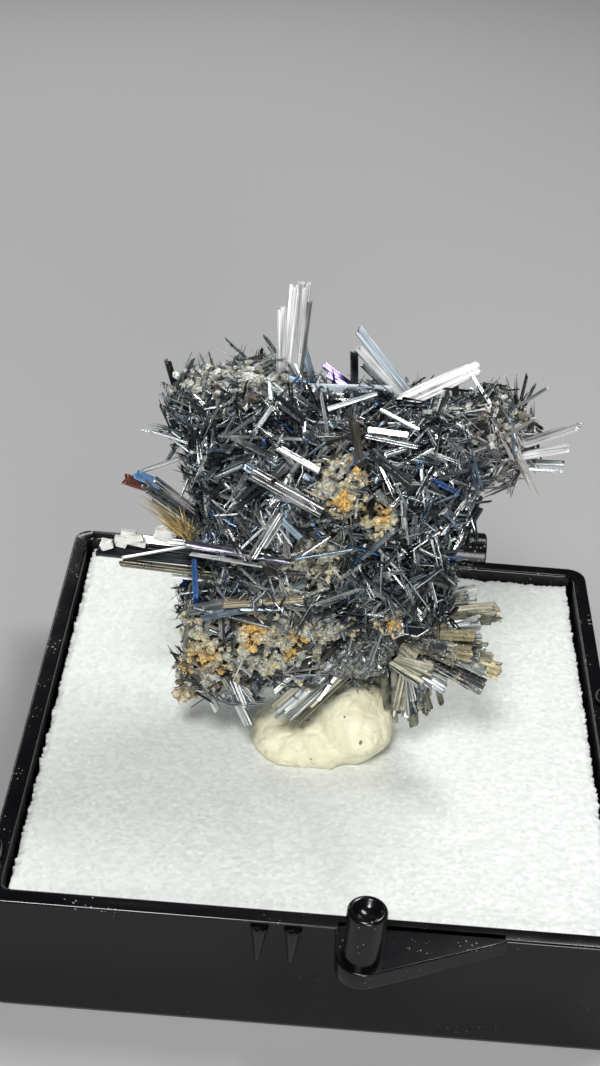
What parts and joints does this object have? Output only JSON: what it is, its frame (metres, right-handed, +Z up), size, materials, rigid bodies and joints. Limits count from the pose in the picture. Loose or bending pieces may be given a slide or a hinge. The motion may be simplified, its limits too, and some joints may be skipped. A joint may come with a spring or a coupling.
{
  "type": "stibnite crystal spray",
  "caption": "Matted spray of needle-like stibnite crystals, fixed with mineral tack on the white foam of a small black display-box base.",
  "frame": {"origin": "centre of the flat underside of the box base", "axes": "+Z up out of the box, -Y towards the front wall with the catch lug and its post, +X to the right seen from the front"},
  "size_m": [0.0336, 0.0369, 0.0313],
  "materials": {
    "black_plastic": "glossy moulded black polystyrene with a little dust",
    "white_foam": "cut closed-cell foam, white with glinting cells",
    "cream_tack": "soft cream mineral tack, pressed smooth, with fine creases",
    "stibnite": "steel-grey metallic crystals striated along their length, partly tarnished blue and coated with tan oxide"
  },
  "bodies": {
    "root": {"box_base": "black_plastic", "foam_insert": "white_foam", "mineral_tack": "cream_tack", "stibnite_cluster": "stibnite"}
  },
  "joints": []
}
